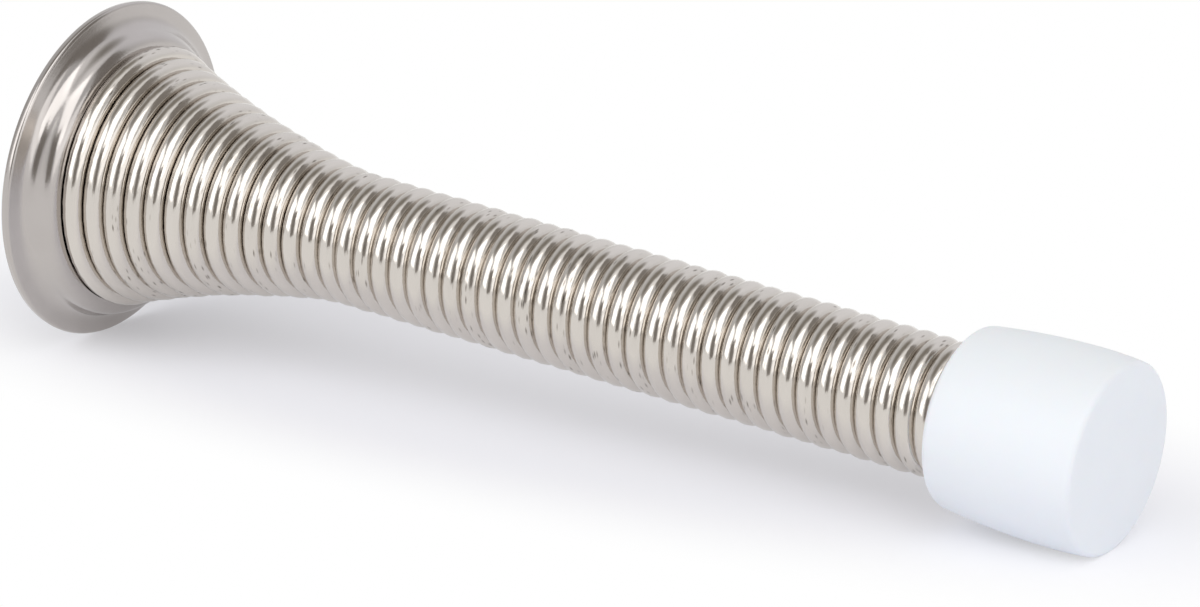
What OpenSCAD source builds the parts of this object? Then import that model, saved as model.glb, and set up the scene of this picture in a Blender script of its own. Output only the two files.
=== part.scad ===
// Spring door stop for a skirting board: a round base, a close-wound spring on its hub and a soft tip.
// The axis is X, in millimetres: the wall is at x = 0 and the tip points to +X.

/* [Whole stop] */
// Distance from the wall to the face of the tip
stop_length = 85; // [70:1:110]

/* [Base] */
// Diameter of the foot that rests on the wall
foot_d = 25.2; // [24.6:0.2:32]
// Height of the foot's straight edge
foot_h = 0.4; // [0.3:0.05:0.8]
// Bevel of the foot's edge
foot_bevel = 0.3; // [0.1:0.05:0.4]
// Height of the shoulder round the first turn
shoulder_h = 2.7; // [2.5:0.05:3.4]
// Rounding of the shoulder's inner edge
shoulder_round = 0.15; // [0.1:0.05:0.3]
// Depth of the first turn's seat below the shoulder
seat_depth = 0.45; // [0.3:0.05:0.6]
// Sag of the side between the foot and the shoulder
side_sag = 0.37; // [0.2:0.01:0.42]
// Wave of that side, which flattens its brim and rounds its shoulder
side_wave = 0.12; // [0:0.01:0.18]
// Width of the ring that rests on the wall
land_w = 2.2; // [1.2:0.1:4]
// Depth of the hollow in the back
hollow_depth = 1.2; // [0.5:0.1:1.3]
// Diameter of the boss in the middle of the hollow
boss_d = 12; // [8:0.5:14]
// Height of the hub inside the spring
hub_h = 11.2; // [9:0.2:13]
// Bevel of the hub's end
hub_bevel = 0.3; // [0.1:0.1:0.5]
// Radius of the ridge that the spring is screwed on by
ridge_r = 0.4; // [0.3:0.02:0.44]

/* [Fixing screw] */
// Length of the screw over its head
screw_len = 20; // [18:1:30]
// Diameter of the thread
thread_d = 4; // [3:0.1:4.6]
// Diameter of the plain shank
shank_d = 2.9; // [2.2:0.1:3.4]
// Diameter of the head
head_d = 7.5; // [6:0.1:8]
// Height of the head's straight edge
head_edge = 0.2; // [0.1:0.05:0.4]
// Length of the point
point_len = 4.4; // [3:0.1:6]
// Distance from the wall to the first thread
thread_start = 0.6; // [0.3:0.1:2]
// Width of the cross recess
cross_w = 1; // [0.6:0.1:1.4]
// Length of the cross recess
cross_len = 4; // [3:0.1:5]
// Depth of the cross recess
cross_depth = 1.3; // [0.8:0.1:1.6]

/* [Spring] */
// Outside diameter of the straight part
spring_d = 9.64; // [9:0.02:11]
// Rise from one turn to the next, which is the thickness of the wire that is wound
turn_rise = 1.543; // [1.5:0.001:1.7]
// Gap between turns, which the drawn wire is thinner by
turn_gap = 0.44; // [0.42:0.01:0.5]
// Outside diameter of the first turn
flare_d = 19.8; // [19:0.1:21]
// Length of the flare from the first turn
flare_len = 19.3; // [16:0.1:24]
// Angle round the axis at which the wire starts, from +Y
wire_start = 27; // [0:1:359]

/* [Tip] */
// Length of the tip
tip_len = 11.6; // [9:0.1:16]
// Diameter of the tip at its widest
tip_d = 13.8; // [13:0.1:17]
// Diameter of the tip at its mouth
mouth_d = 12.6; // [12:0.1:13]
// Diameter of the tip at its face
face_d = 13.4; // [12:0.1:13.6]
// Distance from the face to the widest place
widest_back = 3.4; // [2:0.1:5]
// Thickness of the tip in front of the spring
tip_front = 3.6; // [2:0.1:5]
// Rounding of the face's edge
face_round = 0.35; // [0.3:0.05:1]
// Rounding of the mouth's outer edge
mouth_round = 0.5; // [0.2:0.05:0.6]
// Bevel inside the mouth
mouth_bevel = 0.25; // [0.1:0.05:0.4]

/* [Clearances] */
// Between the wound wire and its seat in the base
seat_gap = 0.08; // [0.05:0.01:0.2]
// Between the wound wire and the shoulder
shoulder_gap = 0.05; // [0.03:0.01:0.2]
// Between the wound wire and the hub
hub_gap = 0.2; // [0.15:0.01:0.3]
// Between the wound wire and the tip's bore
bore_gap = 0.05; // [0.02:0.01:0.15]
// Between the wound wire and the bore's floor
floor_gap = 0.1; // [0.05:0.01:0.3]
// Between the thread and the hole in the base
hole_gap = 0.2; // [0.1:0.05:0.4]
// Between the screw's head and its countersink
head_gap = 0.1; // [0.05:0.01:0.2]
// Depth of the head below the hub's end
head_sink = 0.2; // [0.1:0.05:0.4]

/* [Hidden] */
$fn = 96;
eps = 0.01;
side_steps = 24;
hub_steps = 8;
round_steps = 5;
barrel_steps = 12;
rings_per_turn = 12;
wire_sides = 6;
ridge_sides = 4;
// The flare is a soft share of one power of the way along it, and the rest of a steeper power
flare_soft = 0.85;
soft_power = 1.3;
steep_power = 4;
// The ridge lies between turns, over this span of them
ridge_first = 1.5;
ridge_last = 4;

foot_r = foot_d / 2;
side_foot = [foot_r - foot_bevel, foot_h + foot_bevel];
seat_x = shoulder_h - seat_depth;
wire_d = turn_rise - turn_gap;
wire_x = seat_x + seat_gap + turn_rise / 2;
flare_end = wire_x + flare_len;
pocket_r = flare_d / 2 + shoulder_gap;
side_top = [pocket_r + shoulder_round, shoulder_h];
tip_x = stop_length - tip_len;
widest_x = stop_length - widest_back;
bore_r = spring_d / 2 + bore_gap;
bore_floor = stop_length - tip_front;
wire_end = bore_floor - floor_gap - turn_rise / 2;
screw_x = hub_h - head_sink;
hole_r = thread_d / 2 + hole_gap;

// Outside radius of the wound spring at x, and how fast it changes
function flare_at(x) = max(0, min(1, (flare_end - x) / flare_len));
function turn_r(x) =
    let (u = flare_at(x), swell = (flare_d - spring_d) / 2)
    spring_d / 2 + swell * (flare_soft * pow(u, soft_power) + (1 - flare_soft) * pow(u, steep_power));
function turn_slope(x) =
    let (u = flare_at(x), swell = (flare_d - spring_d) / 2)
    u == 0 ? 0 : -swell / flare_len
        * (flare_soft * soft_power * pow(u, soft_power - 1)
            + (1 - flare_soft) * steep_power * pow(u, steep_power - 1));

// Points of a coil that touches itself: each turn lies one rise along the slope from the last
function coil_x(x, n) = n <= 0 ? x : coil_x(x + ring_step(x), n - 1);
function ring_step(x) = turn_rise / rings_per_turn / sqrt(1 + pow(turn_slope(x), 2));
function round_x(x, r, a) = [x, r * cos(a), r * sin(a)];
function ring_angle(i) = wire_start + i * 360 / rings_per_turn;
// The flats between rings lie as far inside the true turn as the rings lie outside it
ring_out = 2 / (1 + cos(180 / rings_per_turn));

wire_path = [
    for (i = 0, x = wire_x; x <= wire_end; x = x + ring_step(x), i = i + 1)
        round_x(x, ring_out * (turn_r(x) - turn_rise / 2), ring_angle(i))
];
least_gap = min([
    for (i = [rings_per_turn : len(wire_path) - 1])
        norm(wire_path[i] - wire_path[i - rings_per_turn]) - wire_d
]);
echo(turns = (len(wire_path) - 1) / rings_per_turn, least_gap = least_gap);

// The ridge follows the same coil half a turn further along, sunk into the hub's side
function hub_r(x) = turn_r(x) - turn_rise - hub_gap;
ridge_path = [
    for (i = round(ridge_first * rings_per_turn), x = coil_x(wire_x, i + rings_per_turn / 2);
        i <= ridge_last * rings_per_turn; x = x + ring_step(x), i = i + 1)
        round_x(x, hub_r(x) - ridge_r / 4, ring_angle(i))
];

// Tube of flat sides along a path round the X axis, with square ends
function along(path, i) =
    let (a = path[max(i - 1, 0)], b = path[min(i + 1, len(path) - 1)])
    (b - a) / norm(b - a);
function tube_ring(path, i, r, sides) =
    let (t = along(path, i),
        side = cross(t, [0, path[i][1], path[i][2]]),
        b = side / norm(side),
        out = cross(b, t))
    [for (k = [0 : sides - 1]) path[i] + r * (cos(k * 360 / sides) * out + sin(k * 360 / sides) * b)];
module tube(path, r, sides) {
    last = len(path) - 1;
    points = [for (i = [0 : last]) each tube_ring(path, i, r, sides)];
    walls = [
        for (i = [0 : last - 1], k = [0 : sides - 1])
            let (n = (k + 1) % sides, a = i * sides, b = a + sides)
            each [[a + k, b + k, b + n], [a + k, b + n, a + n]]
    ];
    ends = [
        for (k = [1 : sides - 2])
            each [[0, k, k + 1], [last * sides, last * sides + k + 1, last * sides + k]]
    ];
    polyhedron(points = points, faces = concat(walls, ends));
}

// Turns a profile of [radius, x] points round the X axis
module turned(profile) {
    rotate([0, 90, 0]) rotate_extrude() polygon(profile);
}

function corner(centre, r, from, to) = [
    for (i = [0 : round_steps])
        let (a = from + (to - from) * i / round_steps)
        centre + r * [cos(a), sin(a)]
];

function side_point(t) =
    let (run = side_top - side_foot, out = [run[1], -run[0]] / norm(run))
    side_foot + t * run - (side_sag * sin(180 * t) + side_wave * sin(360 * t)) * out;

module base_flange() {
    shoulder_corner = [pocket_r + shoulder_round, shoulder_h - shoulder_round];
    outline = concat(
        [[0, 0], [foot_r, 0], [foot_r, foot_h]],
        [for (i = [0 : side_steps - 1]) side_point(i / side_steps)],
        corner(shoulder_corner, shoulder_round, 90, 180),
        [[pocket_r, seat_x]],
        [for (i = [0 : hub_steps])
            let (x = seat_x + (hub_h - hub_bevel - seat_x) * i / hub_steps) [hub_r(x), x]],
        [[hub_r(hub_h) - hub_bevel, hub_h], [0, hub_h]]
    );
    sink_top = head_d / 2 + head_gap + head_edge + head_sink;
    color("silver") difference() {
        union() {
            turned(outline);
            tube(ridge_path, ridge_r, ridge_sides);
        }
        turned([
            [boss_d / 2, -eps], [foot_r - land_w, -eps],
            [foot_r - land_w, hollow_depth], [boss_d / 2, hollow_depth]
        ]);
        turned([
            [0, -eps], [hole_r, -eps], [hole_r, hub_h - sink_top + hole_r],
            [sink_top + eps, hub_h + eps], [0, hub_h + eps]
        ]);
    }
}

module fixing_screw() {
    head_base = screw_x - head_edge;
    point_x = screw_x - screw_len;
    color("darkgoldenrod") difference() {
        turned([
            [0, point_x],
            [thread_d / 2, point_x + point_len],
            [thread_d / 2, -thread_start],
            [shank_d / 2, -thread_start + (thread_d - shank_d) / 2],
            [shank_d / 2, head_base - (head_d - shank_d) / 2],
            [head_d / 2, head_base],
            [head_d / 2, screw_x],
            [0, screw_x]
        ]);
        for (a = [0, 90])
            rotate([a, 0, 0])
                translate([screw_x - cross_depth, -cross_len / 2, -cross_w / 2])
                    cube([cross_depth + eps, cross_len, cross_w]);
    }
}

module spring() {
    color("gainsboro") tube(wire_path, wire_d / 2, wire_sides);
}

function barrel_r(x) =
    let (drop = x < widest_x ? tip_d - mouth_d : tip_d - face_d,
        span = x < widest_x ? widest_x - tip_x : stop_length - widest_x)
    tip_d / 2 - drop / 2 * pow((x - widest_x) / span, 2);

module rubber_tip() {
    barrel_from = tip_x + mouth_round;
    barrel_to = stop_length - face_round;
    outline = concat(
        [[bore_r + mouth_bevel, tip_x]],
        corner([barrel_r(barrel_from) - mouth_round, barrel_from], mouth_round, -90, 0),
        [for (i = [1 : barrel_steps - 1])
            let (x = barrel_from + (barrel_to - barrel_from) * i / barrel_steps) [barrel_r(x), x]],
        corner([barrel_r(barrel_to) - face_round, barrel_to], face_round, 0, 90),
        [[0, stop_length], [0, bore_floor], [bore_r, bore_floor], [bore_r, tip_x + mouth_bevel]]
    );
    color("white") turned(outline);
}

base_flange();
fixing_screw();
spring();
rubber_tip();
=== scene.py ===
# %% [markdown]
# # A spring door stop
# A stop like this is screwed to a skirting board. A round nickel base holds a close-wound spring, which
# flares where it meets the base, and a soft white tip on the spring's end meets the door. A door that
# hits it hard bends the spring, and nothing breaks. The stop's solids come first, as a fixed frame in
# metres. Each piece of this lesson is modelled where its solid is, so nothing has to be fitted by eye.
# The base, the screw and the tip each move with the body that their solid belongs to.

import math

import bmesh
import bpy
from mathutils import Matrix, Vector


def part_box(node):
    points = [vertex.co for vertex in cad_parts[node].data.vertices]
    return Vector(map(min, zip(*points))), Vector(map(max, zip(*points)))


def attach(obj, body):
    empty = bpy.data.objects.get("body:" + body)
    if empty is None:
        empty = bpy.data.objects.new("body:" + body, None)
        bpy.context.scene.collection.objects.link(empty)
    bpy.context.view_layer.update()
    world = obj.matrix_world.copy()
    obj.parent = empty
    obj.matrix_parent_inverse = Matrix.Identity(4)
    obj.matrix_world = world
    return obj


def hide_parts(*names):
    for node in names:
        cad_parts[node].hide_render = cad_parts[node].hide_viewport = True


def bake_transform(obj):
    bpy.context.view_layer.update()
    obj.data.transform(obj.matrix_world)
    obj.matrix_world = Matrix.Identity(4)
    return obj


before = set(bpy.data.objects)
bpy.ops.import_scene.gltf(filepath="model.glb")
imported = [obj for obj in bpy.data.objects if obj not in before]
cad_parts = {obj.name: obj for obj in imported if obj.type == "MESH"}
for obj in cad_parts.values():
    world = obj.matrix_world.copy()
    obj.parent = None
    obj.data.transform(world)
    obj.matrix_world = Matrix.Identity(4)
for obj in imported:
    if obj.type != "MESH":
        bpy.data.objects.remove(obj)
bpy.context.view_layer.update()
print("pieces in the frame:", sorted(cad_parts))

# %% [markdown]
# ## Sizes
# Blender works in metres, but a wire of a millimetre and a half is easier to think about in millimetres.
# The objects could be drawn large and scaled down, but a scaled object also scales the patterns on it.
# The meshes are modelled in millimetres instead, and each is scaled once, when its piece is finished.
# The sizes that the solids have are read from their boxes, so the two models can't drift apart.

# %% Sizes that the solids give
MM = 0.001


def in_mm(length):
    return round(length / MM, 2)


foot_r = in_mm(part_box("base_flange")[1].z)
hub_h = in_mm(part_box("base_flange")[1].x)
point_x = in_mm(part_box("fixing_screw")[0].x)
screw_x = in_mm(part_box("fixing_screw")[1].x)
head_r = in_mm(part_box("fixing_screw")[1].z)
tip_x = in_mm(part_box("rubber_tip")[0].x)
tip_r = in_mm(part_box("rubber_tip")[1].z)
stop_length = in_mm(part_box("rubber_tip")[1].x)
print("foot", foot_r, "hub", hub_h, "screw", point_x, screw_x, "tip", tip_x, stop_length)

# %% [markdown]
# ## Finishing a piece
# The real pieces are smooth, with a few crisp edges. The mesh could be split along those edges, but that
# opens its skin. Here all faces are shaded smooth and only edges that are sharper than a set angle are
# marked as sharp, so every piece stays one closed skin. Spinning a shape can leave it inside out, so the
# faces are turned outwards, after points that lie on each other are merged. The object stays at the
# origin, and its place is in its mesh, as it is for the solids.

# %% Finish a piece
SHARP = math.radians(38)
MERGE = 1e-4


def new_object(name, data):
    """Puts a mesh, a camera or a lamp into the scene."""
    made = bpy.data.objects.new(name, data)
    bpy.context.scene.collection.objects.link(made)
    return made


def new_mesh(bm, name):
    """Makes a mesh of a bmesh, which is used up."""
    mesh = bpy.data.meshes.new(name)
    bm.to_mesh(mesh)
    bm.free()
    return mesh


def finish_piece(bm, name, material):
    """Makes a piece of a bmesh in millimetres, with its material and the record's slot for its finish."""
    bmesh.ops.remove_doubles(bm, verts=bm.verts, dist=MERGE)
    bmesh.ops.recalc_face_normals(bm, faces=bm.faces)
    bmesh.ops.scale(bm, vec=(MM, MM, MM), verts=bm.verts)
    mesh = new_mesh(bm, name)
    mesh.shade_smooth()
    mesh.set_sharp_from_angle(angle=SHARP)
    mesh.materials.append(material)
    piece = new_object(name, mesh)
    print(name, "has", len(mesh.polygons), "faces")
    return piece


print("edges sharper than", round(math.degrees(SHARP)), "degrees stay crisp")

# %% [markdown]
# ## Turned pieces
# The base, the screw's core and the tip are round. They could be stacked from cylinders and cones, but
# those meet in hard rings. A lathe shows a better way: half of the section is drawn as a line, its
# corners are rounded while they are still single points, and the line is turned round the axis.

# %% Draw a profile and turn it
FULL_TURN = 2 * math.pi


def draw_profile(points, closed):
    """Joins points of (x, radius) into a line in the XZ plane, and returns the mesh and its corners."""
    bm = bmesh.new()
    corners = [bm.verts.new((x, 0, r)) for x, r in points]
    for a, b in zip(corners, corners[1:]):
        bm.edges.new((a, b))
    if closed:
        bm.edges.new((corners[-1], corners[0]))
    return bm, corners


def round_corner(bm, corner, radius, segments):
    bmesh.ops.bevel(
        bm, geom=[corner], offset=radius, affect="VERTICES", segments=segments,
        profile=0.5, material=-1, clamp_overlap=True,
    )


def turn(bm, steps):
    """Turns the profile round the X axis."""
    bmesh.ops.spin(
        bm, geom=bm.verts[:] + bm.edges[:], cent=(0, 0, 0), axis=(1, 0, 0),
        dvec=(0, 0, 0), angle=FULL_TURN, steps=steps, use_merge=True,
    )


print("a profile is turned by", round(math.degrees(FULL_TURN)), "degrees")

# %% [markdown]
# ## Materials from nodes
# A finish in Blender is a small net of nodes. Each node could be added and wired line by line, but the
# finish would be lost among its wires. Short helpers add a node with its inputs set, link two nodes and
# work out a sum, so that the cells below read as a list of what a finish has.

# %% Helpers for nodes


def link(tree, source, target):
    tree.links.new(source, target)


def add_node(tree, kind, **inputs):
    """Adds a node and sets its inputs by name, with _ for a space."""
    node = tree.nodes.new(kind)
    for name, value in inputs.items():
        node.inputs[name.replace("_", " ")].default_value = value
    return node


def add_math(tree, operation, first, second, clamp=False):
    node = tree.nodes.new("ShaderNodeMath")
    node.operation = operation
    node.use_clamp = clamp
    link(tree, first, node.inputs[0])
    link(tree, second, node.inputs[1])
    return node.outputs["Value"]


print("helpers for nodes:", link.__name__, add_node.__name__, add_math.__name__)

# %% [markdown]
# Every finish of the stop has two tones that are mixed, and a fine relief in its surface. Real relief in
# the mesh would need millions of faces at this size, so it is a bump in the material, and larger forms
# such as turns and threads are modelled. A colour or number that is the same all over stays on the
# shader itself.

# %% Helpers for finishes
relief_depth = 0.02


def mix_colours(tree, factor, first, second):
    """Mixes two colours. Each is given as a colour, or as the output of another node."""
    mix = tree.nodes.new("ShaderNodeMix")
    mix.data_type = "RGBA"
    link(tree, factor, mix.inputs["Factor"])
    for name, colour in (("A", first), ("B", second)):
        if isinstance(colour, tuple):
            mix.inputs[name].default_value = (*colour, 1)
        else:
            link(tree, colour, mix.inputs[name])
    return mix.outputs["Result"]


def add_relief(tree, shader, height, strength):
    relief = add_node(tree, "ShaderNodeBump", Strength=strength, Distance=relief_depth * MM)
    link(tree, height, relief.inputs["Height"])
    link(tree, relief.outputs["Normal"], shader.inputs["Normal"])


def new_material(name):
    """Returns a material, its nodes and its shader."""
    material = bpy.data.materials.new(name)
    material.use_nodes = True
    return material, material.node_tree, material.node_tree.nodes["Principled BSDF"]


print("fine relief is", relief_depth, "mm deep")

# %% [markdown]
# ## Grain of plated metal
# Plated metal is never perfectly even. It has a fine grain from the metal under it, slow patches where
# the plate is a little duller, and a few pits. An image of such a plate would have to be laid out flat
# on every piece, and would blur close up. Noise is measured in millimetres and stays sharp from any
# distance. All three metals share it, so it is one node group, and each material sets its own sizes
# there. Pits are dots in the middle of scattered cells, and a slow noise leaves most of the cells
# without one.

# %% Grain that the metals share
grain_sizes = {"Grain Scale": 9.0, "Patch Scale": 0.35, "Pit Scale": 1.6, "Pit Size": 0.1}
pits_from, pits_full = 0.5, 0.62


def plate_grain_group():
    """Builds the group. The place on the piece comes in as millimetres."""
    tree = bpy.data.node_groups.new("plate_grain", "ShaderNodeTree")
    sockets = tree.interface
    sockets.new_socket("Place", in_out="INPUT", socket_type="NodeSocketVector")
    for name, value in grain_sizes.items():
        socket = sockets.new_socket(name, in_out="INPUT", socket_type="NodeSocketFloat")
        socket.default_value = value
    for name in ("Grain", "Patches", "Pits"):
        sockets.new_socket(name, in_out="OUTPUT", socket_type="NodeSocketFloat")
    start = tree.nodes.new("NodeGroupInput")
    end = tree.nodes.new("NodeGroupOutput")
    grain = add_node(tree, "ShaderNodeTexNoise", Detail=3.0, Roughness=0.6)
    patches = add_node(tree, "ShaderNodeTexNoise", Detail=4.0, Roughness=0.55)
    cells = tree.nodes.new("ShaderNodeTexVoronoi")
    scatter = add_node(tree, "ShaderNodeTexNoise", Detail=1.0)
    textures = (
        (grain, "Grain Scale"), (patches, "Patch Scale"),
        (cells, "Pit Scale"), (scatter, "Patch Scale"),
    )
    for texture, scale in textures:
        link(tree, start.outputs["Place"], texture.inputs["Vector"])
        link(tree, start.outputs[scale], texture.inputs["Scale"])
    dot = add_node(tree, "ShaderNodeMapRange", To_Min=1.0, To_Max=0.0)
    link(tree, cells.outputs["Distance"], dot.inputs["Value"])
    link(tree, start.outputs["Pit Size"], dot.inputs["From Max"])
    few = add_node(tree, "ShaderNodeMapRange", From_Min=pits_from, From_Max=pits_full)
    link(tree, scatter.outputs["Fac"], few.inputs["Value"])
    pits = add_math(tree, "MULTIPLY", few.outputs["Result"], dot.outputs["Result"])
    link(tree, grain.outputs["Fac"], end.inputs["Grain"])
    link(tree, patches.outputs["Fac"], end.inputs["Patches"])
    link(tree, pits, end.inputs["Pits"])
    return tree


plate_grain = plate_grain_group()
print("sockets of the grain:", [item.name for item in plate_grain.interface.items_tree])

# %% [markdown]
# ## Plated metal
# A metal's colour is the colour of its reflections. One flat tone would look like paint, so a bright and
# a dull tone that lie close together are mixed by the patches, and the dull patches are a little rougher
# too. Pits are nearly black, and the grain is a fine relief. The pattern could follow the object's
# coordinates everywhere, and it does on the base and the screw. Drawn wire has its grain along its
# length, so there the pattern reads the place on the straight wire, which the mesh will keep for each
# point.

# %% Plated metal
patch_low, patch_high = 0.3, 0.7
pit_colour = (0.1, 0.08, 0.06)


def plated(name, bright, dull, rough, place, stretch, bump, **sizes):
    """A plated metal: bright and dull are its two tones, and rough its lowest and highest roughness."""
    material, tree, shader = new_material(name)
    shader.inputs["Metallic"].default_value = 1.0
    if place == "OBJECT":
        source = tree.nodes.new("ShaderNodeTexCoord").outputs["Object"]
    else:
        attribute = tree.nodes.new("ShaderNodeAttribute")
        attribute.attribute_name = place
        source = attribute.outputs["Vector"]
    mapping = add_node(tree, "ShaderNodeMapping", Scale=stretch)
    link(tree, source, mapping.inputs["Vector"])
    grain = tree.nodes.new("ShaderNodeGroup")
    grain.node_tree = plate_grain
    for socket, value in sizes.items():
        grain.inputs[socket.replace("_", " ")].default_value = value
    link(tree, mapping.outputs["Vector"], grain.inputs["Place"])
    tone = mix_colours(tree, grain.outputs["Patches"], bright, dull)
    pitted = mix_colours(tree, grain.outputs["Pits"], tone, pit_colour)
    link(tree, pitted, shader.inputs["Base Color"])
    spread = add_node(
        tree, "ShaderNodeMapRange",
        From_Min=patch_low, From_Max=patch_high, To_Min=rough[0], To_Max=rough[1],
    )
    link(tree, grain.outputs["Patches"], spread.inputs["Value"])
    link(tree, spread.outputs["Result"], shader.inputs["Roughness"])
    add_relief(tree, shader, grain.outputs["Grain"], bump)
    return material


print("roughness spreads over patches from", patch_low, "to", patch_high)

# %% [markdown]
# ## Nickel and zinc
# The wire is drawn and then plated, so it is bright. The base is cast and brushed before it is plated,
# so it is darker and more satin. The screw has the cooler, duller grey of plain zinc. They differ only
# in a few numbers, so each is one call.

# %% The three metals
per_mm = (1 / MM, 1 / MM, 1 / MM)
along_wire = (0.25, 1, 1)
nickel_wire = plated(
    "nickel_wire", bright=(0.685, 0.645, 0.6), dull=(0.6, 0.56, 0.515), rough=(0.11, 0.17),
    place="wire_place", stretch=along_wire, bump=0.32,
    Grain_Scale=7.0, Patch_Scale=0.8, Pit_Scale=3.6, Pit_Size=0.3,
)
nickel_base = plated(
    "nickel_base", bright=(0.52, 0.488, 0.468), dull=(0.468, 0.437, 0.418), rough=(0.14, 0.19),
    place="OBJECT", stretch=per_mm, bump=0.15,
    Grain_Scale=8.0, Patch_Scale=0.3, Pit_Scale=0.9, Pit_Size=0.06,
)
zinc_screw = plated(
    "zinc_screw", bright=(0.62, 0.62, 0.63), dull=(0.5, 0.51, 0.53), rough=(0.22, 0.36),
    place="OBJECT", stretch=per_mm, bump=0.2,
    Grain_Scale=6.0, Patch_Scale=0.5, Pit_Scale=1.2, Pit_Size=0.08,
)
print("metals:", nickel_wire.name, nickel_base.name, zinc_screw.name)

# %% [markdown]
# ## White rubber
# The tip is moulded in a soft white rubber with a matt skin. A flat white would look like paper, and a
# strong pattern would look like stone. So what it has is subtle: a fine skin that breaks up the
# highlights, slow clouds in its tone and in how matt it is, and a little light that passes under the
# surface.

# %% Rubber
rubber_depth = 0.4
rubber_glow = 0.08
skin_relief = 0.1


def moulded(name, clear, cloudy, rough):
    """A moulded rubber: clear and cloudy are its two tones, and rough its lowest and highest roughness."""
    material, tree, shader = new_material(name)
    shader.inputs["Subsurface Weight"].default_value = rubber_glow
    shader.inputs["Subsurface Scale"].default_value = rubber_depth * MM
    coordinates = tree.nodes.new("ShaderNodeTexCoord")
    mapping = add_node(tree, "ShaderNodeMapping", Scale=per_mm)
    link(tree, coordinates.outputs["Object"], mapping.inputs["Vector"])
    skin = add_node(tree, "ShaderNodeTexNoise", Scale=6.0, Detail=2.0)
    clouds = add_node(tree, "ShaderNodeTexNoise", Scale=0.35, Detail=3.0)
    for texture in (skin, clouds):
        link(tree, mapping.outputs["Vector"], texture.inputs["Vector"])
    tone = mix_colours(tree, clouds.outputs["Fac"], clear, cloudy)
    link(tree, tone, shader.inputs["Base Color"])
    matt = add_node(tree, "ShaderNodeMapRange", To_Min=rough[0], To_Max=rough[1])
    link(tree, clouds.outputs["Fac"], matt.inputs["Value"])
    link(tree, matt.outputs["Result"], shader.inputs["Roughness"])
    add_relief(tree, shader, skin.outputs["Fac"], skin_relief)
    return material


white_rubber = moulded(
    "white_rubber", clear=(0.825, 0.855, 0.885), cloudy=(0.805, 0.838, 0.872), rough=(0.42, 0.6),
)
print("rubber:", white_rubber.name)

# %% [markdown]
# ## The flare
# The spring is straight for most of its length and widens like a trumpet towards the base. A cone would
# do for a rough model, but its edge would kink where it leaves the straight part. The outside is a sum
# of two powers instead: a soft one that starts early, and a steep one that opens the last few turns.

# %% Outside of the spring
turn_rise = 1.543
spring_r = 4.82
flare_r = 9.9
flare_len = 19.3
flare_soft = 0.85
soft_power = 1.3
steep_power = 4
seat_x = 2.25
seat_gap = 0.08
wire_x = seat_x + seat_gap + turn_rise / 2
flare_end = wire_x + flare_len


def flare_share(x):
    """0 where the spring is straight, and 1 at the base."""
    return max(0.0, min(1.0, (flare_end - x) / flare_len))


def outside_r(x):
    u = flare_share(x)
    rise = flare_soft * u**soft_power + (1 - flare_soft) * u**steep_power
    return spring_r + (flare_r - spring_r) * rise


def outside_slope(x):
    u = flare_share(x)
    if u == 0:
        return 0.0
    soft = flare_soft * soft_power * u ** (soft_power - 1)
    steep = (1 - flare_soft) * steep_power * u ** (steep_power - 1)
    return -(flare_r - spring_r) / flare_len * (soft + steep)


print("the flare runs from x", round(wire_x, 2), "to", round(flare_end, 2))

# %% [markdown]
# ## The coil's line
# The spring is wound from one wire, and each turn touches the last. A plain helix has an even rise,
# which would leave gaps in the flare, where the turns lie on a slope and the rise along the axis is
# shorter. The line is walked from the base in small steps instead, and each step is as long as the slope
# there allows.

# %% Line of the coil
wire_start = math.radians(27)
rings_per_turn = 12
rings_between = 4
fine_rings = rings_per_turn * rings_between
tip_front = 3.6
floor_gap = 0.1
bore_floor = stop_length - tip_front
wire_end = bore_floor - floor_gap - turn_rise / 2


def coil_line():
    """Rings of (x, angle) from the base to the tip, close enough together to look round."""
    rings = []
    x, angle = wire_x, wire_start
    step_angle = FULL_TURN / rings_per_turn
    while x <= wire_end:
        step = turn_rise / rings_per_turn / math.hypot(1, outside_slope(x))
        for k in range(rings_between):
            share = k / rings_between
            rings.append((x + share * step, angle + share * step_angle))
        x, angle = x + step, angle + step_angle
    return rings[: len(rings) - rings_between + 1]


coil = coil_line()
print("rings in the coil:", len(coil), "from", coil[0][0], "to", coil[-1][0])

# %% [markdown]
# ## Winding the wire
# A curve with a round bevel would give a coil quickly, but its points wouldn't know where they were on
# the straight wire, and the metal's grain needs that. Here one turn is made by spinning a round section
# about the axis with a small step along it. Copies of that turn, each one rise further on, give a plain
# coil of any length.

# %% Wind a plain coil


def plain_coil(ring_count, section_r, sides, coil_r, rise):
    """Winds a round section into an even coil, whose points keep their ring and their place on the wire."""
    bm = bmesh.new()
    place = bm.verts.layers.float_vector.new("wire_place")
    number = bm.verts.layers.int.new("ring")
    bmesh.ops.create_circle(bm, cap_ends=False, radius=section_r, segments=sides)
    for vert in bm.verts:
        vert[place] = (0, vert.co.x, vert.co.y)
    bmesh.ops.translate(bm, verts=bm.verts, vec=(0, coil_r, 0))
    bmesh.ops.spin(
        bm, geom=bm.verts[:] + bm.edges[:], cent=(0, 0, 0), axis=(1, 0, 0),
        dvec=(rise / fine_rings, 0, 0), angle=FULL_TURN, steps=fine_rings,
    )
    for i, vert in enumerate(bm.verts):
        vert[number] = i // sides
    one_turn = bm.verts[:] + bm.edges[:] + bm.faces[:]
    last = ring_count - 1
    for k in range(1, math.ceil(last / fine_rings)):
        copy = bmesh.ops.duplicate(bm, geom=one_turn)["geom"]
        verts = [item for item in copy if isinstance(item, bmesh.types.BMVert)]
        bmesh.ops.translate(bm, verts=verts, vec=(k * rise, 0, 0))
        for vert in verts:
            vert[number] += k * fine_rings
    surplus = [vert for vert in bm.verts if vert[number] > last]
    bmesh.ops.delete(bm, geom=surplus, context="VERTS")
    return bm


print("rings in each turn:", fine_rings)

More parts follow.
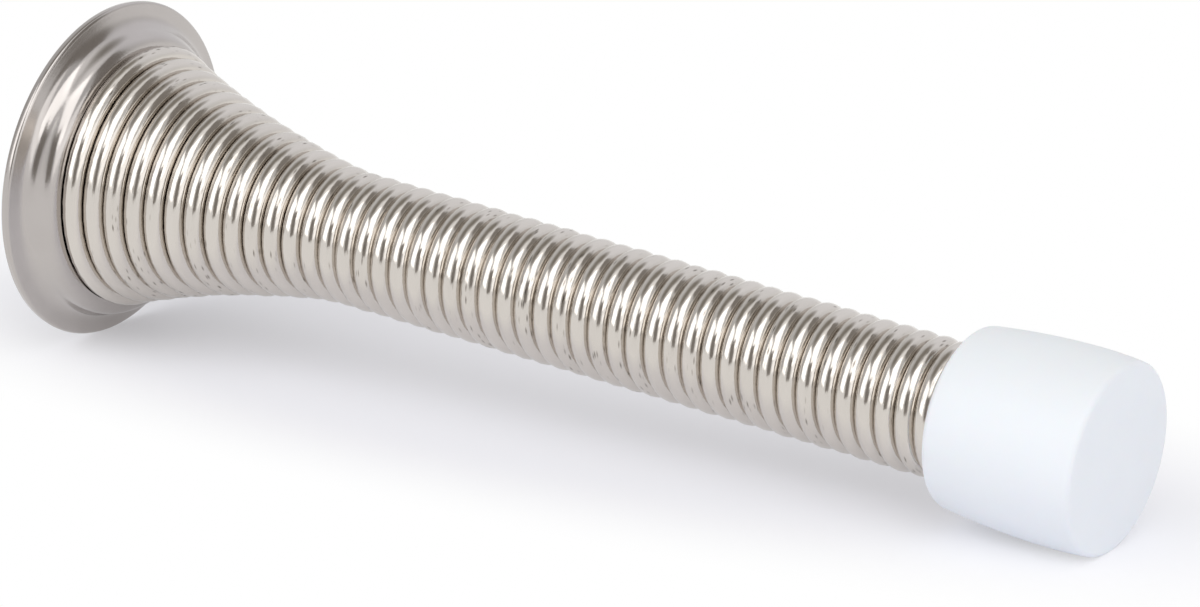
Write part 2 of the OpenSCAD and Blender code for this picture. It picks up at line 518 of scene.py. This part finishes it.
# %% [markdown]
# Every ring of the plain coil is then moved to its place on the coil's line. The rings could be drawn
# there straight away, but then each face between them would have to be listed by hand, and the spin has
# made them all. The length of wire up to a ring is kept in its points, for the grain.

# %% Move the rings to their line


def wind(rings, radius_at, section_r, sides, coil_r, rise):
    """Winds a round section along rings of (x, angle). The ends stay open."""
    bm = plain_coil(len(rings), section_r, sides, coil_r, rise)
    place = bm.verts.layers.float_vector["wire_place"]
    number = bm.verts.layers.int["ring"]
    to_start = Matrix.Rotation(rings[0][1], 3, "X")
    bmesh.ops.rotate(bm, verts=bm.verts, cent=(0, 0, 0), matrix=to_start)
    along = 0.0
    moves = []
    for i, (x, angle) in enumerate(rings):
        r = radius_at(x)
        out = r - coil_r
        forth = x - i * rise / fine_rings
        moves.append((Vector((forth, out * math.cos(angle), out * math.sin(angle))), along))
        along += r * FULL_TURN / fine_rings
    for vert in bm.verts:
        move, along = moves[vert[number]]
        vert.co += move
        vert[place].x = along
    bm.verts.layers.int.remove(number)
    bmesh.ops.remove_doubles(bm, verts=bm.verts, dist=MERGE)
    return bm


print("the spring's wire has", len(coil), "rings to move")

# %% [markdown]
# A wire that is cut off has a flat end, and its edge is broken with a file so that it can't scratch. The
# ends could stay open, since nobody looks into them, but then the piece would have no inside. They are
# capped, and the edge of the end that was cut gets a small bevel.

# %% Close the ends
cut_bevel = 0.12
cut_steps = 2


def cap_ends(bm):
    edges = [edge for edge in bm.edges if edge.is_boundary]
    return bmesh.ops.holes_fill(bm, edges=edges, sides=0)["faces"]


def break_edge(bm, caps, cut_x):
    """Bevels the edge of the cap that is nearest to where the wire was cut."""
    cut = min(caps, key=lambda cap: abs(cap.calc_center_median().x - cut_x))
    bmesh.ops.bevel(
        bm, geom=list(cut.edges), offset=cut_bevel, affect="EDGES", segments=cut_steps,
        profile=0.5, material=-1,
    )


print("a cut end has a bevel of", cut_bevel, "mm")

# %% [markdown]
# ## The spring
# The spring is one wire, but it bends in two places: sideways near the base, and up and down near the
# tip. A mesh can turn smoothly between two bodies only, and there are three. The wire is therefore made
# as two halves, which meet in the middle, on the side that faces away.

# %% Where the halves meet
bend_from, bend_between, bend_to = 11, 42, 73


def from_far_side(i):
    return abs(math.remainder(coil[i][1], FULL_TURN))


near_join = [i for i in range(len(coil)) if abs(coil[i][0] - bend_between) < turn_rise / 2]
join = min(near_join, key=from_far_side)
print("the halves meet at x", coil[join][0])

# %% [markdown]
# The turns of a real spring aren't quite even. The wire could be wound without a fault, but its
# reflections would then look drawn with a ruler, so the radius wanders by a few hundredths of a
# millimetre. A hairline is left between the turns, which shows as the fine dark line that parts them.

# %% Wind the spring
wire_sides = 20
hairline = 0.012
wire_r = (turn_rise - hairline) / 2
straight_r = spring_r - turn_rise / 2
wanders = ((0.018, 2.1, 0), (0.012, 0.83, 1))


def wire_middle_r(x):
    """The radius of the wire's middle. A wander has a size, a rate and a shift."""
    wander = sum(size * math.sin(rate * x + shift) for size, rate, shift in wanders)
    return outside_r(x) - turn_rise / 2 + wander


parts = (("spring_root", coil[: join + 1], wire_x), ("spring_end", coil[join:], wire_end))
halves = {}
for name, rings, cut_x in parts:
    wire = wind(rings, wire_middle_r, wire_r, wire_sides, straight_r, turn_rise)
    break_edge(wire, cap_ends(wire), cut_x)
    halves[name] = finish_piece(wire, name, nickel_wire)
    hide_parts("spring")
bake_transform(halves["spring_root"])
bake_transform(halves["spring_end"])
print("the spring bends from x", bend_from, "to", bend_between, "and from there to", bend_to)

# %% [markdown]
# ## The side of the base
# The base is a casting. From its foot a flat brim runs inwards, and a cove rises from the brim to a
# round shoulder beside the first turn. The side could be joined from a few arcs, but plated metal shows
# each joint between arcs as a break in its reflections. It is walked instead, from the foot inwards,
# along a slope that changes smoothly. The foot's edge narrows a little towards the wall, as a casting
# does to leave its mould.

# %% Side of the base
foot_h = 0.4
foot_round = 0.3
foot_taper = 0.15
brim_len = 0.5
cove_len = 1.7
shoulder_len = 1.75
brim_slope = math.radians(74)
wall_slope = math.radians(17)
lip_slope = math.radians(80)
side_steps = 48


def smooth(share):
    """Eases a share from 0 to 1, with no kink at either end."""
    share = max(0.0, min(1.0, share))
    return share * share * (3 - 2 * share)


def side_slope(along):
    """The side's angle from the axis, at a length from the foot."""
    past_brim = along - brim_len
    if past_brim < cove_len:
        return brim_slope + (wall_slope - brim_slope) * smooth(past_brim / cove_len)
    return wall_slope + (lip_slope - wall_slope) * smooth((past_brim - cove_len) / shoulder_len)


def side_line():
    """Points of the side, walked from the foot inwards."""
    x, r = foot_h + foot_round, foot_r - foot_round
    step = (brim_len + cove_len + shoulder_len) / side_steps
    points = [(x, r)]
    for i in range(side_steps):
        slope = side_slope((i + 0.5) * step)
        x, r = x + step * math.cos(slope), r - step * math.sin(slope)
        points.append((x, r))
    return points


base_side = side_line()
print("the side ends at x", round(base_side[-1][0], 2), "and radius", round(base_side[-1][1], 2))

# %% [markdown]
# ## The base
# Inside the shoulder is a seat for the first turn. Then a hub fills the flare, so that the spring can be
# screwed onto it, with a hole for the fixing screw. The back is hollow round a boss, which saves metal.
# It could be cut from a solid with booleans, but those leave long thin faces that shade badly. One
# closed line round the whole section is turned instead.

# %% Turn the base
seat_r = 9.3
floor_x = 2.8
hub_gap = 0.2
hub_bevel = 0.3
hub_steps = 64
head_edge = 0.2
head_gap = 0.1
head_sink = 0.2
hole_r = 2.2
land_w = 2.2
hollow_depth = 1.2
boss_r = 6
back_round = 0.12
hollow_round = 0.3
corner_steps = 4
turn_steps = 192
sink_r = head_r + head_gap + head_edge + head_sink


def hub_r(x):
    return outside_r(x) - turn_rise - hub_gap


hub_rows = [floor_x + (hub_h - hub_bevel - floor_x) * i / hub_steps for i in range(hub_steps + 1)]
base_profile = [(0, foot_r - foot_taper), (foot_h + foot_round, foot_r)]
base_profile += base_side + [(floor_x, seat_r)]
base_profile += [(x, hub_r(x)) for x in hub_rows]
base_profile += [
    (hub_h, hub_r(hub_h) - hub_bevel), (hub_h, sink_r), (hub_h - sink_r + hole_r, hole_r), (0, hole_r),
    (0, boss_r), (hollow_depth, boss_r), (hollow_depth, foot_r - land_w), (0, foot_r - land_w),
]
casting, corners = draw_profile(base_profile, closed=True)
hollow_corners = (-4, -3, -2, -1)
edge_rounds = [(0, back_round), (1, foot_round)] + [(i, hollow_round) for i in hollow_corners]
for i, radius in edge_rounds:
    round_corner(casting, corners[i], radius, corner_steps)
turn(casting, turn_steps)
print("points in the turned base:", len(casting.verts))

# %% [markdown]
# ## The ramp under the first turn
# The first turn climbs as it goes round, so a level seat would leave a gap that widens. A turned shape
# can't climb, and a second piece under the wire would show a seam. So the points of the seat and the
# shoulder are raised along with the wire, and come down again behind the spring, where the wire starts.

# %% Ramp under the first turn
ramp_level = math.radians(170)
ramp_end = math.radians(300)
ramp_from, ramp_full = 1.3, 2.6
ramp_fade = 2.2
touch = 0.01
first_rise = turn_rise / math.hypot(1, outside_slope(wire_x))


def seat_rise(angle):
    """How far the seat is raised at an angle."""
    angle = (angle - wire_start) % FULL_TURN + wire_start
    back = smooth((angle - ramp_end) / (wire_start + FULL_TURN - ramp_end))
    up = (min(angle, ramp_end) - ramp_level) * (1 - back) + (wire_start - ramp_level) * back
    return first_rise * up / FULL_TURN


for vert in casting.verts:
    x, r = vert.co.x, math.hypot(vert.co.y, vert.co.z)
    if x < ramp_from or r < hub_r(x) - touch:
        continue
    raised = seat_rise(math.atan2(vert.co.z, vert.co.y))
    if r < hub_r(x) + touch:
        vert.co.x += raised * smooth(1 - (x - floor_x) / ramp_fade)
        grown = hub_r(vert.co.x) / r
        vert.co.y *= grown
        vert.co.z *= grown
    else:
        vert.co.x += raised * smooth((x - ramp_from) / (ramp_full - ramp_from))
print("the seat climbs", round(seat_rise(ramp_end) - seat_rise(wire_start), 2), "mm")

# %% [markdown]
# ## The ridge on the hub
# The spring is held by a low ridge that winds round the hub and lies between the turns. It could be a
# wire of its own, sunk into the hub, but a casting is one skin. The ridge is raised out of the hub's own
# rows, which were made fine enough for it.

# %% Ridge on the hub
ridge_h = 0.3
ridge_w = 0.42
ridge_from, ridge_to = 5.0, 9.6
ridge_fade = 0.5


def coil_angle(x):
    """The coil's angle at x, from the two rings next to it."""
    after = next(i for i in range(1, len(coil)) if coil[i][0] >= x)
    (x0, a0), (x1, a1) = coil[after - 1], coil[after]
    return a0 + (a1 - a0) * (x - x0) / (x1 - x0)


def fade(value, edge, width):
    return max(0.0, min(1.0, (value - edge) / width))


for vert in casting.verts:
    x, r = vert.co.x, math.hypot(vert.co.y, vert.co.z)
    if ridge_from < x < ridge_to and abs(r - hub_r(x)) < touch:
        angle = math.atan2(vert.co.z, vert.co.y)
        off = abs(math.remainder(coil_angle(x) - angle, FULL_TURN)) / FULL_TURN
        away = (0.5 - off) * turn_rise / ridge_w
        ends = fade(x, ridge_from, ridge_fade) * fade(-x, -ridge_to, ridge_fade)
        lift = 1 + ridge_h * ends * max(0.0, 1 - away**2) / r
        vert.co.y *= lift
        vert.co.z *= lift
flange = finish_piece(casting, "flange", nickel_base)
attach(flange, "base")
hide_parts("base_flange")

# %% [markdown]
# ## The screw
# A countersunk wood screw holds the base to the board. Its core is a shank that ends in a point, with a
# cone for a head. It could be joined from a cylinder and two cones. A turned line gives them in one, and
# the corner under the head can be rounded. The head stays open, because its face gets a cross recess
# next.

# %% Turn the screw's core
core_r = 1.45
point_len = 4.4
neck_corner = 2
neck_round = 0.4
neck_steps = 3
screw_steps = 48
neck_x = screw_x - head_edge - (head_r - core_r)
core_profile = [
    (point_x, 0), (point_x + point_len, core_r), (neck_x, core_r),
    (screw_x - head_edge, head_r), (screw_x, head_r),
]
core, corners = draw_profile(core_profile, closed=False)
round_corner(core, corners[neck_corner], neck_round, neck_steps)
turn(core, screw_steps)
rim = [edge for edge in core.edges if edge.is_boundary and edge.verts[0].co.x > neck_x]
print("edges round the open head:", len(rim))

# %% [markdown]
# The recess is pressed into the head with a punch. A boolean with a cross would do that, but it needs a
# second object and can leave slivers. A grid of nine faces holds the cross already: its middle row and
# column. Those five faces are extruded downwards and tapered, and the grid's edge is bridged to the rim
# of the head.

# %% Press the cross recess
cross_w = 1.0
cross_len = 4.0
cross_depth = 1.3
cross_taper = 0.55
half_cross = cross_len / 2


def off_cross(face):
    """How far the middle of a face is from the nearer arm's middle line."""
    middle = face.calc_center_median()
    return min(abs(middle.y), abs(middle.z))


grid = bmesh.ops.create_grid(core, x_segments=3, y_segments=3, size=half_cross)["verts"]
for vert in grid:
    for axis in (0, 1):
        if abs(vert.co[axis]) < half_cross - touch:
            vert.co[axis] = math.copysign(cross_w / 2, vert.co[axis])
upright = Matrix.Rotation(math.pi / 2, 3, "Y")
bmesh.ops.rotate(core, verts=grid, cent=(0, 0, 0), matrix=upright)
bmesh.ops.translate(core, verts=grid, vec=(screw_x, 0, 0))
outer = [edge for edge in core.edges if edge.is_boundary and edge.verts[0] in grid]
arms = [face for face in core.faces if face.verts[0] in grid and off_cross(face) < touch]
pressed = bmesh.ops.extrude_face_region(core, geom=arms)["geom"]
bmesh.ops.delete(core, geom=arms, context="FACES")
recess = [item for item in pressed if isinstance(item, bmesh.types.BMVert)]
bmesh.ops.translate(core, verts=recess, vec=(-cross_depth, 0, 0))
bmesh.ops.scale(core, verts=recess, vec=(1, cross_taper, cross_taper), space=Matrix.Identity(4))
bmesh.ops.bridge_loops(core, edges=rim + outer)
print("faces pressed into the head:", len(arms))

# %% [markdown]
# The thread is rolled into a real screw. A pattern of bumps could fake it, but a thread shows in its
# outline. It is wound round the core in the same way as the spring's wire, with a section of three
# sides, and it grows thinner towards the point with the core.

# %% Wind the thread
thread_r = 2.0
thread_start = 0.6
thread_stop = 1.2
thread_rise = 1.8
thread_section = 0.5
thread_sides = 3


def thread_line():
    """Rings of (x, angle) from near the point up to the base."""
    rings = []
    x = -thread_start
    while x > point_x + thread_stop:
        rings.append((x, -FULL_TURN * x / thread_rise))
        x -= thread_rise / fine_rings
    return rings[::-1]


def thread_middle_r(x):
    taper = min(1.0, (x - point_x) / point_len)
    return thread_r * taper - thread_section


thread = wind(
    thread_line(), thread_middle_r, thread_section, thread_sides, thread_r - thread_section, thread_rise,
)
cap_ends(thread)
bmesh.ops.recalc_face_normals(thread, faces=thread.faces)
thread_mesh = new_mesh(thread, "thread")
core.from_mesh(thread_mesh)
bpy.data.meshes.remove(thread_mesh)
screw = finish_piece(core, "screw", zinc_screw)
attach(screw, "base")
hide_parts("fixing_screw")

# %% [markdown]
# ## The tip
# The tip is a soft white barrel with a blind bore that is pushed over the spring's end. A cylinder with
# its edges bevelled would come close, but the real one swells towards its face and then draws in. The
# barrel is two parabolas that meet at the widest place, with no kink there. The corners of the profile
# are rounded before it is turned.

# %% Turn the tip
mouth_r = 6.3
face_r = 6.7
widest_back = 3.4
widest_x = stop_length - widest_back
bore_gap = 0.05
bore_r = spring_r + bore_gap
face_round = 0.35
mouth_round = 0.5
mouth_bevel = 0.25
bore_round = 0.3
barrel_steps = 24
barrel_from = tip_x + 2 * mouth_round
barrel_to = stop_length - 2 * face_round


def barrel_r(x):
    drop = tip_r - (mouth_r if x < widest_x else face_r)
    span = widest_x - tip_x if x < widest_x else stop_length - widest_x
    return tip_r - drop * ((x - widest_x) / span) ** 2


barrel = [barrel_from + (barrel_to - barrel_from) * i / barrel_steps for i in range(barrel_steps + 1)]
tip_profile = [(bore_floor, 0), (bore_floor, bore_r), (tip_x + mouth_bevel, bore_r)]
tip_profile += [(tip_x, bore_r + mouth_bevel), (tip_x, mouth_r)]
tip_profile += [(x, barrel_r(x)) for x in barrel] + [(stop_length, face_r), (stop_length, 0)]
moulding, corners = draw_profile(tip_profile, closed=False)
# Each rounding has the number of its corner in the profile, its radius and its steps
tip_rounds = ((4, mouth_round, 6), (-2, face_round, 8), (1, bore_round, 3))
for i, radius, steps in tip_rounds:
    round_corner(moulding, corners[i], radius, steps)
turn(moulding, turn_steps)
tip = finish_piece(moulding, "tip", white_rubber)
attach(tip, "tip")
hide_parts("rubber_tip")

# %% [markdown]
# ## Camera
# The stop lies on the rim of its base and on its tip, so the floor is tilted in the stop's own frame.
# The stop could be turned to lie on a level floor, but its place is fixed. The camera's up follows the
# floor instead. The view is a long lens from some way off, which keeps the far turns nearly as tall as
# the near ones.

# %% Camera
PHOTO_WIDTH = 1200
focal_px = 5684.8
film_width = 36
floor_up = Vector((-0.0702, 0, 0.9975)).normalized()
eye = Vector((0.2445, -0.3122, 0.1383))
forward = Vector((-0.50732, 0.7883, -0.34815)).normalized()
right = forward.cross(floor_up).normalized()
over = right.cross(forward)

camera_data = bpy.data.cameras.new("camera")
camera_data.sensor_fit = "HORIZONTAL"
camera_data.sensor_width = film_width
camera_data.lens = focal_px / PHOTO_WIDTH * film_width
camera_data.clip_start = 0.01
camera = new_object("camera", camera_data)
camera_axes = Matrix((right, over, -forward)).transposed().to_4x4()
camera.matrix_world = Matrix.Translation(eye) @ camera_axes
bpy.context.scene.camera = camera
print("lens of", round(camera_data.lens, 1), "mm")

# %% [markdown]
# ## Floor
# The floor is a white disc under the stop, much larger than the stop, so that its edge is never near. A
# plane would do as well, but its corners can show in a low view.

# %% Floor
floor_drop = 12.6 * MM
floor_r = 0.35
floor_sides = 128
aim = Vector((0.0442, -0.0008, 0.0007))


def floor_point(point):
    """The point of the floor under a point."""
    return point - floor_up * (point.dot(floor_up) + floor_drop)


disc = bmesh.new()
bmesh.ops.create_circle(disc, cap_ends=True, radius=floor_r, segments=floor_sides)
lean = Vector((0, 0, 1)).rotation_difference(floor_up).to_matrix()
bmesh.ops.rotate(disc, verts=disc.verts, cent=(0, 0, 0), matrix=lean)
bmesh.ops.translate(disc, verts=disc.verts, vec=floor_point(aim))
floor_mesh = new_mesh(disc, "floor")
floor = new_object("floor", floor_mesh)
print("the floor leans by", round(math.degrees(floor_up.angle((0, 0, 1))), 1), "degrees")

# %% [markdown]
# ## White of the floor
# A page behind a product is white. A floor that is lit until it is white would light the stop too
# brightly, and a floor that simply glows white would lose the stop's shadow. So the white is a share. It
# is whole far from the stop, and near the stop, in a soft oval, it is only a part, and the rest is
# paint, which takes the light and the shadow. The oval is also painted shade: inside it the floor is
# greyer than white even where no shadow falls. It is a soft painted shadow round the stop, which the
# metal reflects too.

# %% Share of white
# The oval of painted shade: near_share is how much white is left in its middle, and shade_middle and
# shade_reach place it and size it on the floor.
near_share = 0.27
oval_from, oval_to = 0.55, 1.15
shade_middle = Vector((0.037, 0.006, 0))
shade_reach = Vector((0.066, 0.022, 0))

white_floor, floor_tree, plain_shader = new_material("white_floor")
floor_tree.nodes.remove(plain_shader)
coordinates = floor_tree.nodes.new("ShaderNodeTexCoord")
oval = add_node(
    floor_tree, "ShaderNodeMapping",
    Scale=(1 / shade_reach.x, 1 / shade_reach.y, 0),
    Location=(-shade_middle.x / shade_reach.x, -shade_middle.y / shade_reach.y, 0),
)
link(floor_tree, coordinates.outputs["Object"], oval.inputs["Vector"])
distance = floor_tree.nodes.new("ShaderNodeVectorMath")
distance.operation = "LENGTH"
link(floor_tree, oval.outputs["Vector"], distance.inputs[0])
share = add_node(
    floor_tree, "ShaderNodeMapRange",
    From_Min=oval_from, From_Max=oval_to, To_Min=near_share, To_Max=1.0,
)
share.interpolation_type = "SMOOTHSTEP"
link(floor_tree, distance.outputs["Value"], share.inputs["Value"])
print("share of white near the stop:", near_share)

# %% [markdown]
# Only rays that make the picture should see that white: those from the camera, and those that come off
# shiny or through clear surfaces. Light that falls on the floor and back on the stop meets the paint
# alone.

# %% Paint and white
# The paint is cool, so the painted shade of the oval and the real shadow in it come out bluish.
paint_colour = (0.9, 0.905, 0.97, 1)
floor_ray = floor_tree.nodes.new("ShaderNodeLightPath")
seen = floor_ray.outputs["Is Camera Ray"]
for kind in ("Is Glossy Ray", "Is Transmission Ray"):
    seen = add_math(floor_tree, "ADD", seen, floor_ray.outputs[kind], clamp=True)
whiteness = add_math(floor_tree, "MULTIPLY", seen, share.outputs["Result"])
paint = add_node(floor_tree, "ShaderNodeBsdfDiffuse", Color=paint_colour)
white = add_node(floor_tree, "ShaderNodeEmission", Color=(1, 1, 1, 1), Strength=1.0)
surface = floor_tree.nodes.new("ShaderNodeMixShader")
link(floor_tree, whiteness, surface.inputs["Fac"])
link(floor_tree, paint.outputs["BSDF"], surface.inputs[1])
link(floor_tree, white.outputs["Emission"], surface.inputs[2])
link(floor_tree, surface.outputs["Shader"], floor_tree.nodes["Material Output"].inputs["Surface"])
floor_mesh.materials.append(white_floor)
print("the floor has", len(floor_tree.nodes), "nodes")

# %% [markdown]
# ## Light
# Polished wire is a row of small mirrors, so most of its look is what stands round it. Things could be
# placed round the stop by their coordinates, but what decides where a streak falls on the wire is the
# direction of a lamp and how wide it looks from there. So each place is given by two angles, and each
# size as an angle too.

# %% Directions round the stop
heading = (forward - floor_up * forward.dot(floor_up)).normalized()
side = heading.cross(floor_up)


def toward(azimuth, elevation):
    """A direction by its angle from the camera's heading, to the right, and its angle above the floor."""
    a, e = math.radians(azimuth), math.radians(elevation)
    return (heading * math.cos(a) + side * math.sin(a)) * math.cos(e) + floor_up * math.sin(e)


def placed(azimuth, elevation, distance):
    """The place of a flat thing that stands off the stop in a direction and faces it."""
    back = toward(azimuth, elevation)
    across = floor_up.cross(back).normalized()
    axes = Matrix((across, back.cross(across), back)).transposed().to_4x4()
    return Matrix.Translation(aim + back * distance) @ axes


def spans(angle, distance):
    return 2 * distance * math.tan(math.radians(angle / 2))


print("the camera heads along", [round(part, 2) for part in heading])

# %% [markdown]
# ## Soft boxes
# Small lamps would give each turn a hard spot. Soft boxes are wide, and each turn shows them as streaks.
# Two large ones stand to the left and behind the camera, and a weaker one fills in from the right.

# %% Soft boxes


def soft_box(name, azimuth, elevation, wide, tall, distance, radiance):
    """A rectangular lamp. wide and tall are angles as the stop sees them."""
    data = bpy.data.lights.new(name, "AREA")
    data.shape = "RECTANGLE"
    data.size = spans(wide, distance)
    data.size_y = spans(tall, distance)
    data.energy = radiance * math.pi * data.size * data.size_y
    lamp = new_object(name, data)
    lamp.matrix_world = placed(azimuth, elevation, distance)
    lamp.visible_camera = False
    print(name, "is", round(data.size, 2), "m by", round(data.size_y, 2), "m")


soft_box("left_box", azimuth=-116, elevation=30, wide=45, tall=46, distance=0.7, radiance=1.3)
soft_box("right_box", azimuth=165, elevation=44, wide=46, tall=54, distance=0.7, radiance=1.3)
soft_box("right_fill", azimuth=134, elevation=8, wide=56, tall=26, distance=0.75, radiance=0.6)

# %% [markdown]
# ## Cards
# Metal also needs something dark to reflect, or it looks like white plastic. The whole room could be
# darker, but then the pale parts would go grey as well. A studio puts up grey cards, and so does this
# scene: one where the camera stands, between the streaks, and one at the right, which draws the dark
# edges of the turns.

# %% Cards
card_tone = (0.27, 0.25, 0.23)


def card(name, azimuth, elevation, wide, tall, distance, colour):
    """A plain card that the camera doesn't see. wide and tall are angles as the stop sees them."""
    bm = bmesh.new()
    bmesh.ops.create_grid(bm, x_segments=1, y_segments=1, size=0.5)
    size = (spans(wide, distance), spans(tall, distance), 1)
    bmesh.ops.scale(bm, verts=bm.verts, vec=size)
    bmesh.ops.transform(bm, verts=bm.verts, matrix=placed(azimuth, elevation, distance))
    mesh = new_mesh(bm, name)
    material, _, shader = new_material(name)
    shader.inputs["Base Color"].default_value = (0, 0, 0, 1)
    shader.inputs["Specular IOR Level"].default_value = 0.0
    shader.inputs["Emission Color"].default_value = (*colour, 1)
    shader.inputs["Emission Strength"].default_value = 1.0
    mesh.materials.append(material)
    piece = new_object(name, mesh)
    piece.visible_camera = False
    print(name, "is", round(size[0], 2), "m by", round(size[1], 2), "m")


card("camera_card", azimuth=-170, elevation=15, wide=33, tall=40, distance=0.6, colour=card_tone)
card("edge_card", azimuth=92, elevation=22, wide=26, tall=66, distance=0.6, colour=card_tone)

# %% [markdown]
# ## Room
# What is left to reflect is the room: white at the floor and greyer overhead. An image of a studio could
# stand for it, but a ramp of greys over the height and a few round patches give just what the wire
# needs, and can be changed one at a time. The camera itself sees a white page.

# %% Greys of the room
world = bpy.data.worlds.new("room")
bpy.context.scene.world = world
world.use_nodes = True
room_tree = world.node_tree
room_ways = room_tree.nodes.new("ShaderNodeTexCoord")
grey_levels = ((0.17, 0.82), (0.5, 0.7), (0.8, 0.62))
overhead = 0.6


def facing(direction):
    """How nearly a ray points along a direction, from -1 to 1."""
    node = room_tree.nodes.new("ShaderNodeVectorMath")
    node.operation = "DOT_PRODUCT"
    node.inputs[1].default_value = direction
    link(room_tree, room_ways.outputs["Generated"], node.inputs[0])
    return node.outputs["Value"]


height = room_tree.nodes.new("ShaderNodeValToRGB")
link(room_tree, facing(floor_up), height.inputs["Fac"])
greys = height.color_ramp.elements
greys[0].position = 0.0
greys[0].color = (1, 1, 1, 1)
greys[1].position = 1.0
greys[1].color = (overhead, overhead, overhead, 1)
for place, level in grey_levels:
    greys.new(place).color = (level, level, level, 1)
print("steps of grey from the floor up:", len(greys))

# %% [markdown]
# The light patches are walls and a ceiling that catch the light, and the dark ones give the band above
# the streaks on each turn. More lamps and cards could do the same, but these need soft edges. They are
# mixed in one after another, so a later one lies over an earlier one.

# %% Patches in the room
dark = (0.27, 0.25, 0.22)
# Each patch has an azimuth, an elevation, the angles where it ends and where it is full, and a colour
room_patches = (
    (35, 36, 42, 18, (0.93, 0.935, 0.97)),
    (120, 77, 32, 12, (1.05, 1.05, 1.05)),
    (-70, 14, 24, 6, (0.52, 0.51, 0.5)),
    (-80, 72, 26, 8, dark),
    (10, 70, 26, 8, dark),
)
room_colour = height.outputs["Color"]
for azimuth, elevation, edge, full, colour in room_patches:
    near = add_node(
        room_tree, "ShaderNodeMapRange",
        From_Min=math.cos(math.radians(edge)), From_Max=math.cos(math.radians(full)),
    )
    link(room_tree, facing(toward(azimuth, elevation)), near.inputs["Value"])
    room_colour = mix_colours(room_tree, near.outputs["Result"], room_colour, colour)
room_ray = room_tree.nodes.new("ShaderNodeLightPath")
page = mix_colours(room_tree, room_ray.outputs["Is Camera Ray"], room_colour, (1, 1, 1))
background = room_tree.nodes["Background"]
background.inputs["Strength"].default_value = 1.0
link(room_tree, page, background.inputs["Color"])
bpy.context.scene.view_settings.view_transform = "Standard"
print("patches in the room:", len(room_patches))
